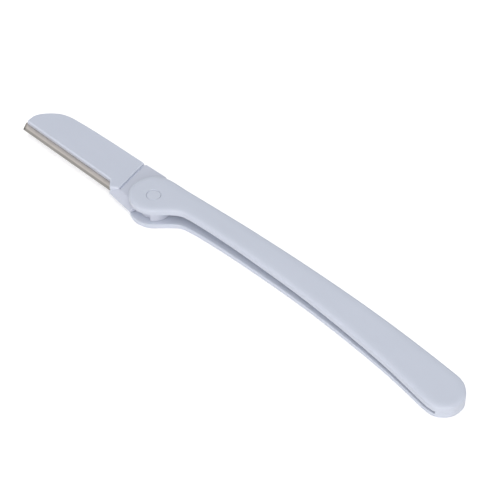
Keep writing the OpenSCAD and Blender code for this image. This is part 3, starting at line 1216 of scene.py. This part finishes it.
class Nodes:
    """Places nodes in a tree and links them, in short calls."""

    def __init__(self, tree: bpy.types.NodeTree) -> None:
        """Keeps the tree that takes the nodes."""
        self.tree = tree

    def add(self, kind: str, **settings: object) -> bpy.types.Node:
        """Adds a node.

        Args:
            kind: Type of the node.
            settings: Properties of the node and their values.

        Returns:
            The node.
        """
        node = self.tree.nodes.new(kind)
        for name, value in settings.items():
            setattr(node, name, value)
        return node

    def put(self, socket: bpy.types.NodeSocket, value: object) -> None:
        """Links a socket to another one, or sets its value.

        Args:
            socket: The input.
            value: The output that it is linked to, or its value.
        """
        if isinstance(value, bpy.types.NodeSocket):
            self.tree.links.new(value, socket)
        else:
            socket.default_value = value

    def feed(self, node: bpy.types.Node, **inputs: object) -> bpy.types.Node:
        """Fills a node's inputs by their names.

        Args:
            node: The node.
            inputs: Input names, with spaces written as underscores, and what goes into each.

        Returns:
            The same node.
        """
        for name, value in inputs.items():
            self.put(node.inputs[name.replace("_", " ")], value)
        return node

    def fill(self, node: bpy.types.Node, *values: object) -> bpy.types.Node:
        """Fills a node's inputs in their order.

        Args:
            node: The node.
            values: What goes into each.

        Returns:
            The same node.
        """
        for k, value in enumerate(values):
            self.put(node.inputs[k], value)
        return node

    def maths(self, operation: str, *values: object, clamp: bool = False) -> bpy.types.NodeSocket:
        """Adds an operation on numbers.

        Args:
            operation: Name of the operation.
            values: The numbers.
            clamp: Whether the result is kept between zero and one.

        Returns:
            The result.
        """
        node = self.add("ShaderNodeMath", operation=operation, use_clamp=clamp)
        return self.fill(node, *values).outputs[0]

    def swing(self, noise: object, amount: object) -> bpy.types.NodeSocket:
        """Adds a noise's swing about its middle value: (noise - 0.5) * amount.

        Args:
            noise: The noise.
            amount: Swing from its least value to its greatest.

        Returns:
            The swing.
        """
        return self.maths("MULTIPLY", self.maths("SUBTRACT", noise, 0.5), amount)

    def vectors(self, operation: str, *values: object) -> bpy.types.NodeOutputs:
        """Adds an operation on vectors.

        Args:
            operation: Name of the operation.
            values: The vectors.

        Returns:
            The result, as "Vector" or as "Value".
        """
        node = self.add("ShaderNodeVectorMath", operation=operation)
        return self.fill(node, *values).outputs

    def scaled(self, colour: object, amount: object) -> bpy.types.NodeSocket:
        """Adds a colour times a number.

        Args:
            colour: The colour.
            amount: The number.

        Returns:
            The result.
        """
        node = self.add("ShaderNodeVectorMath", operation="SCALE")
        return self.feed(self.fill(node, colour), Scale=amount).outputs["Vector"]

    def mix(self, what: Mixed, share: object, first: object,
            second: object) -> bpy.types.NodeSocket:
        """Adds a mix of two colours or of two numbers.

        Args:
            what: What they are.
            share: Share of the second one.
            first: The first one.
            second: The second one.

        Returns:
            The mix.
        """
        kind, ends, result = what.value
        node = self.add("ShaderNodeMix", data_type=kind)
        for k, value in zip((0, *ends), (share, first, second)):
            self.put(node.inputs[k], value)
        return node.outputs[result]

    def spread(self, value: object, start: object, stop: object, low: float,
               high: float) -> bpy.types.NodeSocket:
        """Adds a map of one range of numbers to another one, which the result doesn't leave.

        Args:
            value: The number.
            start: Number for which the result is the first one.
            stop: Number for which it is the last one.
            low: The first result.
            high: The last result.

        Returns:
            The result.
        """
        node = self.add("ShaderNodeMapRange")
        return self.fill(node, value, start, stop, low, high).outputs[0]

    def noise(self, vector: object, scale: object, detail: float = 3.0) -> bpy.types.NodeSocket:
        """Adds a noise.

        Args:
            vector: Where it is taken.
            scale: Its waves per metre.
            detail: How many finer noises it has on top.

        Returns:
            Its value, from zero to one.
        """
        node = self.add("ShaderNodeTexNoise")
        return self.feed(node, Vector=vector, Scale=scale, Detail=detail).outputs[0]

    def bump(self, height: object, distance: float) -> bpy.types.NodeSocket:
        """Adds a bump.

        Args:
            height: Its height, from zero to one.
            distance: How far a height of one stands out, in metres.

        Returns:
            The direction of the surface with the bump.
        """
        node = self.add("ShaderNodeBump")
        return self.feed(node, Height=height, Distance=distance, Strength=1.0).outputs["Normal"]

    def group(self, tree: bpy.types.NodeTree, **inputs: object) -> bpy.types.NodeOutputs:
        """Adds a node group.

        Args:
            tree: The group.
            inputs: Input names, with spaces written as underscores, and what goes into each.

        Returns:
            Its outputs.
        """
        return self.feed(self.add("ShaderNodeGroup", node_tree=tree), **inputs).outputs


def opaque(colour: Colour) -> tuple[float, float, float, float]:
    """The colour with full cover, as nodes take it."""
    return (*colour, 1.0)


def new_group(name: str, inputs: list[Socket],
              outputs: list[Socket]) -> tuple[Nodes, bpy.types.NodeOutputs, bpy.types.Node]:
    """Starts a shader node group with named inputs and outputs.

    Args:
        name: Name of the group.
        inputs: Its inputs.
        outputs: Its outputs.

    Returns:
        Its nodes, what is given to it, and the node that takes its results.
    """
    tree = bpy.data.node_groups.new(name, "ShaderNodeTree")
    for sockets, side in ((inputs, "INPUT"), (outputs, "OUTPUT")):
        for item in sockets:
            socket = tree.interface.new_socket(item.name, in_out=side, socket_type=item.kind)
            if item.default is not None:
                socket.default_value = item.default
    nodes = Nodes(tree)
    return nodes, nodes.add("NodeGroupInput").outputs, nodes.add("NodeGroupOutput")


def new_material(name: str) -> tuple[bpy.types.Material, Nodes, bpy.types.Node]:
    """Starts a material.

    Args:
        name: Name of the material.

    Returns:
        The material, its nodes, and its shader.
    """
    made = bpy.data.materials.new(name)
    made.use_nodes = True
    return made, Nodes(made.node_tree), made.node_tree.nodes["Principled BSDF"]


@dataclass
class Effects:
    """The shader groups that the finishes share, each built once.

    Attributes:
        flow: Waves per metre of the flow marks.
        flow_pull: Their stretch: waves along each axis, as shares.
        waves: Waves per metre of the skin's waviness.
        fine: Share of the fine grain in the skin's height. The waviness has the rest.
        patches: Waves per metre of the uneven gloss.
        highlight_breakup: Waves per metre of the noise that breaks up the painted highlight.
        highlight_breakup_range: Noise values at which the painted highlight is least and most.
        highlight_least: The least painted highlight, as a share.
        edge_gloss: How much less rough an edge under the painted highlight is.
    """

    flow: float = 140.0
    flow_pull: tuple[float, float, float] = (0.35, 1.0, 1.0)
    waves: float = 260.0
    fine: float = 0.35
    patches: float = 420.0
    highlight_breakup: float = 900.0
    highlight_breakup_range: tuple[float, float] = (0.35, 0.65)
    highlight_least: float = 0.4
    edge_gloss: float = 0.12

    def __post_init__(self) -> None:
        """Builds the groups."""
        self.skin = self.moulded_skin()
        self.edge_highlight = self.painted_edge_highlight()
        self.lines = self.drawn_lines()

    def moulded_skin(self) -> bpy.types.NodeTree:
        """A moulded face: fine grain, soft flow marks in the colour, and uneven gloss.

        The colour is the base colour times one plus a slow noise, and the grain is the sum of a
        fine noise and a slower waviness.

        Returns:
            The group, which puts out a colour, a roughness and a height.
        """
        nodes, given, out = new_group(
            "Moulded skin",
            [Socket("Vector", "NodeSocketVector"), Socket("Colour", "NodeSocketColor"),
             Socket("Flow"), Socket("Grain", default=3200.0), Socket("Roughness"),
             Socket("Unevenness", default=0.1)],
            [Socket("Colour", "NodeSocketColor"), Socket("Roughness"), Socket("Height")])
        pull = nodes.feed(nodes.add("ShaderNodeMapping"), Vector=given["Vector"],
                          Scale=self.flow_pull)
        flow = nodes.swing(nodes.noise(pull.outputs[0], self.flow), given["Flow"])
        bright = nodes.maths("ADD", nodes.maths("MULTIPLY", flow, 2.0), 1.0)
        fine = nodes.noise(given["Vector"], given["Grain"], detail=4.0)
        waves = nodes.noise(given["Vector"], self.waves, detail=1.0)
        height = nodes.maths("ADD", nodes.maths("MULTIPLY", fine, self.fine),
                             nodes.maths("MULTIPLY", waves, 1 - self.fine))
        patches = nodes.noise(given["Vector"], self.patches)
        rough = nodes.maths("ADD", nodes.swing(patches, given["Unevenness"]),
                            given["Roughness"], clamp=True)
        nodes.feed(out, Colour=nodes.scaled(given["Colour"], bright), Roughness=rough,
                   Height=height)
        return nodes.tree

    def painted_edge_highlight(self) -> bpy.types.NodeTree:
        """Painted edge highlight: sharp outward edges are painted lighter, and are smoother.

        The mask is how far the surface's pointedness lies between two values over its middle
        one, broken up by a fine noise.

        Returns:
            The group, which puts out a colour and a roughness.
        """
        nodes, given, out = new_group(
            "Painted edge highlight",
            [Socket("Vector", "NodeSocketVector"), Socket("Colour", "NodeSocketColor"),
             Socket("Worn colour", "NodeSocketColor"), Socket("Roughness"), Socket("Amount"),
             Socket("From"), Socket("To")],
            [Socket("Colour", "NodeSocketColor"), Socket("Roughness")])
        pointed = nodes.add("ShaderNodeNewGeometry").outputs["Pointiness"]
        edge = nodes.spread(pointed, given["From"], given["To"], 0.0, 1.0)
        breakup = nodes.spread(nodes.noise(given["Vector"], self.highlight_breakup), *self.highlight_breakup_range,
                           self.highlight_least, 1.0)
        mask = nodes.maths("MULTIPLY", nodes.maths("MULTIPLY", edge, breakup), given["Amount"],
                           clamp=True)
        # Painted highlight: the lighter colour on sharp convex edges stands for light that they
        # catch.
        colour = nodes.mix(Mixed.COLOURS, mask, given["Colour"], given["Worn colour"])
        gloss = nodes.maths("MULTIPLY", mask, self.edge_gloss)
        nodes.feed(out, Colour=colour, Roughness=nodes.maths("SUBTRACT", given["Roughness"],
                                                             gloss, clamp=True))
        return nodes.tree

    def drawn_lines(self) -> bpy.types.NodeTree:
        """Fine lines along X, in height and in tone.

        They are a noise on coordinates that have many more waves across the lines than along.

        Returns:
            The group, which puts out a height and a tone round one.
        """
        nodes, given, out = new_group(
            "Ground lines",
            [Socket("Vector", "NodeSocketVector"), Socket("Along"), Socket("Across"),
             Socket("Contrast")],
            [Socket("Height"), Socket("Tone")])
        stretch = nodes.feed(nodes.add("ShaderNodeCombineXYZ"), X=given["Along"],
                             Y=given["Across"], Z=given["Across"])
        drawn = nodes.vectors("MULTIPLY", given["Vector"], stretch.outputs[0])
        height = nodes.noise(drawn["Vector"], 1.0)
        nodes.feed(out, Height=height,
                   Tone=nodes.maths("ADD", 1.0, nodes.swing(height, given["Contrast"])))
        return nodes.tree


@dataclass(frozen=True)
class MouldedPlastic:
    """A satin moulded plastic.

    Attributes:
        finish: Which finish it is.
        colour: Its colour, in linear values.
        highlight_colour: Lighter colour painted on its edges as a highlight.
        roughness: Its roughness.
        flow: How much the colour varies.
        bump: How far the grain stands out, in metres.
        edge_highlight: How strongly the painted edge highlight shows.
        highlight_range: Pointedness from which the painted highlight shows, and at which it is
            most.
        coat: Weight of the thin clear skin that a polished mould leaves.
        coat_roughness: Its roughness.
        ior: How strongly the plastic bends light.
        shine: Strength of its reflection.
    """

    finish: Finish
    colour: Colour
    highlight_colour: Colour
    roughness: float = 0.42
    flow: float = 0.03
    bump: float = 0.000012
    edge_highlight: float = 0.3
    highlight_range: tuple[float, float] = (0.515, 0.6)
    coat: float = 0.12
    coat_roughness: float = 0.3
    ior: float = 1.46
    shine: float = 0.45

    def material(self, effects: Effects) -> bpy.types.Material:
        """Builds the material.

        Args:
            effects: The shared shader groups.

        Returns:
            The material.
        """
        made, nodes, shader = new_material(self.finish.value)
        spot = nodes.add("ShaderNodeTexCoord").outputs["Object"]
        skin = nodes.group(effects.skin, Vector=spot, Colour=opaque(self.colour),
                           Flow=self.flow, Roughness=self.roughness)
        # Painted edge highlight, lighter than the plastic.
        edge_highlight = nodes.group(effects.edge_highlight, Vector=spot, Colour=skin["Colour"],
                           Worn_colour=opaque(self.highlight_colour), Roughness=skin["Roughness"],
                           Amount=self.edge_highlight, From=self.highlight_range[0], To=self.highlight_range[1])
        nodes.feed(shader, Base_Color=edge_highlight["Colour"], Roughness=edge_highlight["Roughness"],
                   Normal=nodes.bump(skin["Height"], self.bump), Coat_Weight=self.coat,
                   Coat_Roughness=self.coat_roughness, IOR=self.ior,
                   Specular_IOR_Level=self.shine)
        return made


@dataclass(frozen=True)
class Lines:
    """Fine lines in steel.

    Attributes:
        along: Waves per metre along them.
        across: Waves per metre across them.
        contrast: Swing of their tone.
    """

    along: float
    across: float
    contrast: float

    def add(self, nodes: Nodes, effects: Effects,
            vector: bpy.types.NodeSocket) -> bpy.types.NodeOutputs:
        """Adds them to a material.

        Args:
            nodes: Nodes of the material.
            effects: The shared shader groups.
            vector: Place in a frame that has X along the lines.

        Returns:
            Their "Height" and "Tone".
        """
        return nodes.group(effects.lines, Vector=vector, Along=self.along, Across=self.across,
                           Contrast=self.contrast)


@dataclass(frozen=True)
class GroundSteel:
    """Stainless strip steel with fine rolled lines and a ground edge.

    Attributes:
        finish: Which finish it is.
        strip: Blade unit that has the strip.
        colour: Colour of its faces, in linear values.
        ground: Colour of its ground edge.
        roughness: Roughness of its faces.
        ground_rough: How much rougher the ground edge is.
        fade: Width over which the edge's look starts, as a share of the edge on either side.
        rolled: Lines of its faces, along the strip.
        scratched: Lines of its ground edge, across the strip.
        patches: Waves per metre of its patches.
        patch_range: Values of their noise at which they are darkest and brightest.
        patch_tone: The darkest and the brightest.
        bump: How far the lines stand out, in metres.
        end_shade_span: Where the painted shade along the slanted end starts to fade and
            where it has faded, in mm from the end.
        end_shade: Brightness of that painted shade, as a share.
    """

    finish: Finish
    strip: BladeUnit
    colour: Colour
    ground: Colour
    roughness: float
    ground_rough: float = 0.1
    fade: float = 0.04
    rolled: Lines = Lines(90.0, 7000.0, 0.12)
    scratched: Lines = Lines(300.0, 9000.0, 0.3)
    patches: float = 260.0
    patch_range: tuple[float, float] = (0.3, 0.7)
    patch_tone: tuple[float, float] = (0.93, 1.05)
    bump: float = 0.000004
    end_shade_span: tuple[float, float] = (0.35, 0.85)
    end_shade: float = 0.58

    def own_place(self, nodes: Nodes, spot: bpy.types.NodeSocket) -> bpy.types.NodeSocket:
        """The place in the strip's own frame, with the edge along X and its heel at zero.

        Args:
            nodes: Nodes of the material.
            spot: The place in the piece's frame.

        Returns:
            The place, in metres.
        """
        turn = math.radians(self.strip.steel_tilt)
        x, y = self.strip.heel * MM
        start = (-x * math.cos(turn) + y * math.sin(turn),
                 -x * math.sin(turn) - y * math.cos(turn), 0.0)
        node = nodes.add("ShaderNodeMapping", vector_type="POINT")
        return nodes.feed(node, Vector=spot, Rotation=(0.0, 0.0, turn), Location=start).outputs[0]

    def painted_end_shade(self, nodes: Nodes, own: bpy.types.NodeSocket) -> bpy.types.NodeSocket:
        """The painted shade along the slanted end, a tone set by the distance from the end's line.

        Args:
            nodes: Nodes of the material.
            own: The place in the strip's own frame.

        Returns:
            The tone, as a share.
        """
        lean = math.radians(self.strip.steel_slant)
        over = nodes.vectors("DOT_PRODUCT", own, (math.cos(lean), math.sin(lean), 0.0))
        start, stop = ((d - self.strip.steel_l * math.cos(lean)) * MM for d in self.end_shade_span)
        return nodes.spread(over["Value"], start, stop, self.end_shade, 1.0)

    def material(self, effects: Effects) -> bpy.types.Material:
        """Builds the material.

        Args:
            effects: The shared shader groups.

        Returns:
            The material.
        """
        made, nodes, shader = new_material(self.finish.value)
        spot = nodes.add("ShaderNodeTexCoord").outputs["Object"]
        own = self.own_place(nodes, spot)
        over_edge = nodes.feed(nodes.add("ShaderNodeSeparateXYZ"), Vector=own).outputs["Y"]
        width = self.strip.grind_w * MM
        edge = nodes.spread(over_edge, width * (1 - self.fade), width * (1 + self.fade),
                            1.0, 0.0)
        across = nodes.feed(nodes.add("ShaderNodeMapping"), Vector=own,
                            Rotation=(0.0, 0.0, math.radians(90))).outputs[0]
        rolled = self.rolled.add(nodes, effects, own)
        scratched = self.scratched.add(nodes, effects, across)
        patch = nodes.spread(nodes.noise(spot, self.patches), *self.patch_range,
                             *self.patch_tone)
        tone = nodes.maths("MULTIPLY", patch, nodes.mix(Mixed.NUMBERS, edge, rolled["Tone"],
                                                        scratched["Tone"]))
        # Painted shade: the face darkens towards the slanted end.
        tone = nodes.maths("MULTIPLY", tone, self.painted_end_shade(nodes, own))
        colour = nodes.mix(Mixed.COLOURS, edge, opaque(self.colour), opaque(self.ground))
        height = nodes.mix(Mixed.NUMBERS, edge, rolled["Height"], scratched["Height"])
        rough = nodes.maths("ADD", nodes.maths("MULTIPLY", edge, self.ground_rough),
                            self.roughness)
        nodes.feed(shader, Base_Color=nodes.scaled(colour, tone), Roughness=rough, Metallic=1.0,
                   Normal=nodes.bump(height, self.bump))
        return made


@dataclass(frozen=True)
class Lamp:
    """A square lamp that faces the pivot, and doesn't show in the steel.

    Attributes:
        name: Its name.
        spot: Its place, in m.
        size: Its side, in m.
        power: Its power, in W.
        colour: Colour of its light.
    """

    name: str
    spot: tuple[float, float, float]
    size: float
    power: float
    colour: Colour = WHITE

    def build(self) -> None:
        """Makes the lamp."""
        data = bpy.data.lights.new(self.name, "AREA")
        data.size, data.energy, data.color = self.size, self.power, self.colour
        lamp = bpy.data.objects.new(self.name, data)
        bpy.context.scene.collection.objects.link(lamp)
        lamp.location = self.spot
        lamp.visible_glossy = False
        lamp.rotation_euler = (-Vector(self.spot)).to_track_quat("-Z", "Y").to_euler()


@dataclass
class Studio:
    """The plain stage: a pale floor, soft lamps, a white backdrop and the photo's camera.

    Attributes:
        azimuth: Camera's angle to the side, in degrees.
        elevation: Camera's angle over the floor, in degrees.
        eye: Camera's place, in mm.
        lens: Focal length on the sensor, in mm.
        sensor: Width of the sensor, in mm.
        eye_near: Distance from which the camera sees, in m.
        floor_half: Half of the floor's side, in m.
        floor_z: Height of the floor, in m.
        floor_shade: Lightness of the floor.
        floor_rough: Roughness of the floor.
        sky: Strength of the even light from all round.
        sky_colour: Its colour.
        glow: Light that the floor adds where it is seen, so that its lit part is white.
        near: Distance up to which it adds no more, in m.
        far: Distance from which it is as white as the backdrop, in m.
        lamps: The lamps.
    """

    azimuth: float = 42.0
    elevation: float = 44.0
    eye: tuple[float, float, float] = (243.8605, -230.4885, 308.8561)
    lens: float = 115.694
    sensor: float = 36.0
    eye_near: float = 0.01
    floor_half: float = 3.0
    floor_z: float = -0.00002
    floor_shade: float = 0.9
    floor_rough: float = 0.9
    sky: float = 0.33
    sky_colour: Colour = (0.97, 0.98, 1.0)
    glow: float = 0.42
    near: float = 0.25
    far: float = 1.1
    lamps: tuple[Lamp, ...] = (
        Lamp("Top", (0.03, 0.0, 1.3), 1.0, 4.8),
        Lamp("Key", (0.55, -0.65, 0.95), 1.3, 7.5),
        Lamp("Front fill", (0.1, -1.2, 0.4), 1.0, 4.2, (1.0, 0.93, 0.87)),
        Lamp("Side fill", (1.1, -0.5, 0.35), 1.0, 3.8, (1.0, 0.94, 0.88)))

    def camera(self) -> None:
        """Makes the camera: it looks along the direction of the two angles, with X level."""
        data = bpy.data.cameras.new("Camera")
        data.lens, data.sensor_width, data.clip_start = self.lens, self.sensor, self.eye_near
        eye = bpy.data.objects.new("Camera", data)
        bpy.context.scene.collection.objects.link(eye)
        a, e = math.radians(self.azimuth), math.radians(self.elevation)
        look = Vector((-math.sin(a) * math.cos(e), math.cos(a) * math.cos(e), -math.sin(e)))
        right = Vector((math.cos(a), math.sin(a), 0.0))
        up = right.cross(look)
        turn = Matrix((right, up, -look)).transposed().to_4x4()
        eye.matrix_world = Matrix.Translation(Vector(self.eye) * MM) @ turn
        bpy.context.scene.camera = eye

    def seen(self, nodes: Nodes) -> bpy.types.NodeSocket:
        """Tells rays that are looked along from those that carry light.

        Args:
            nodes: Nodes of the world or the material.

        Returns:
            One for rays from the camera, off mirrors and through glass, and zero for others.
        """
        rays = nodes.add("ShaderNodeLightPath").outputs
        first = nodes.maths("MAXIMUM", rays["Is Camera Ray"], rays["Is Glossy Ray"])
        return nodes.maths("MAXIMUM", first, rays["Is Transmission Ray"])

    def world(self) -> None:
        """Makes the world: soft even light, and plain white where it is seen."""
        world = bpy.data.worlds.new("Studio")
        world.use_nodes = True
        bpy.context.scene.world = world
        nodes = Nodes(world.node_tree)
        light = nodes.feed(world.node_tree.nodes["Background"], Color=opaque(self.sky_colour),
                           Strength=self.sky)
        backdrop = nodes.feed(nodes.add("ShaderNodeBackground"), Color=opaque(WHITE),
                              Strength=1.0)
        both = nodes.fill(nodes.add("ShaderNodeMixShader"), self.seen(nodes), light.outputs[0],
                          backdrop.outputs[0])
        nodes.feed(world.node_tree.nodes["World Output"], Surface=both.outputs[0])

    def floor(self) -> None:
        """Makes the floor, a pale sheet that keeps the razor's shadow."""
        half, z = self.floor_half, self.floor_z
        mesh = bpy.data.meshes.new("Floor")
        mesh.from_pydata([(-half, -half, z), (half, -half, z), (half, half, z), (-half, half, z)],
                         [], [(0, 1, 2, 3)])
        floor = bpy.data.objects.new("Floor", mesh)
        bpy.context.scene.collection.objects.link(floor)
        made, nodes, shader = new_material("Pale floor")
        reach = nodes.vectors("LENGTH", nodes.add("ShaderNodeTexCoord").outputs["Object"])
        glow = nodes.spread(reach["Value"], self.near, self.far, self.glow, 1.0)
        nodes.feed(shader, Base_Color=(*[self.floor_shade] * 3, 1.0),
                   Roughness=self.floor_rough, Specular_IOR_Level=0.0,
                   Emission_Color=opaque(WHITE),
                   Emission_Strength=nodes.maths("MULTIPLY", self.seen(nodes), glow))
        mesh.materials.append(made)

    def build(self) -> None:
        """Builds the whole stage."""
        bpy.context.scene.view_settings.view_transform = "Standard"
        self.camera()
        self.world()
        self.floor()
        for lamp in self.lamps:
            lamp.build()


def finishes(blade: BladeUnit) -> dict[Finish, bpy.types.Material]:
    """Builds the finishes.

    Args:
        blade: The blade unit, for the steel's own frame.

    Returns:
        The material of each finish.
    """
    effects = Effects()
    looks = (
        # Each plastic's second colour is its painted edge highlight.
        MouldedPlastic(Finish.SHELLS, (0.55, 0.59, 0.685), (0.62, 0.66, 0.75)),
        MouldedPlastic(Finish.COVERS, (0.555, 0.594, 0.693), (0.7, 0.74, 0.83), edge_highlight=0.6,
                       highlight_range=(0.503, 0.54)),
        # Painted shade: the tang is the covers' plastic, coloured darker for the shade it gets
        # beside the handle's lobe.
        MouldedPlastic(Finish.SHADED_TANG, (0.536, 0.567, 0.66), (0.62, 0.66, 0.75)),
        MouldedPlastic(Finish.PIN, (0.545, 0.585, 0.68), (0.6, 0.64, 0.73), roughness=0.38),
        GroundSteel(Finish.STEEL, blade, (0.565, 0.525, 0.492), (0.36, 0.345, 0.325), 0.42))
    return {look.finish: look.material(effects) for look in looks}


def main() -> None:
    """Builds the studio and the razor, and reports each piece."""
    logging.basicConfig(level=logging.INFO, format="%(name)s %(message)s")
    Studio().build()
    handle, blade = Handle(), BladeUnit()
    finish = finishes(blade)
    pieces = (
        (handle.back, BodyName.HANDLE, "back_handle_shell", SlotName.HANDLE, Finish.SHELLS),
        (handle.front, BodyName.HANDLE, "front_handle_shell", SlotName.HANDLE, Finish.SHELLS),
        (handle.pin, BodyName.HANDLE, "pivot_pin", SlotName.PIN, Finish.PIN),
        (blade.tang, BodyName.BLADE, "blade_tang", SlotName.HOLDER, Finish.SHADED_TANG),
        (blade.steel, BodyName.BLADE, "steel_blade", SlotName.STEEL, Finish.STEEL),
        (blade.back_cover, BodyName.BLADE, "back_blade_cover", SlotName.HOLDER, Finish.COVERS),
        (blade.front_cover, BodyName.BLADE, "front_blade_cover", SlotName.HOLDER,
         Finish.COVERS))
    for build, body, node, slot, look in pieces:
        place(build(), body, node, finish[look])


if __name__ == "__main__":
    main()
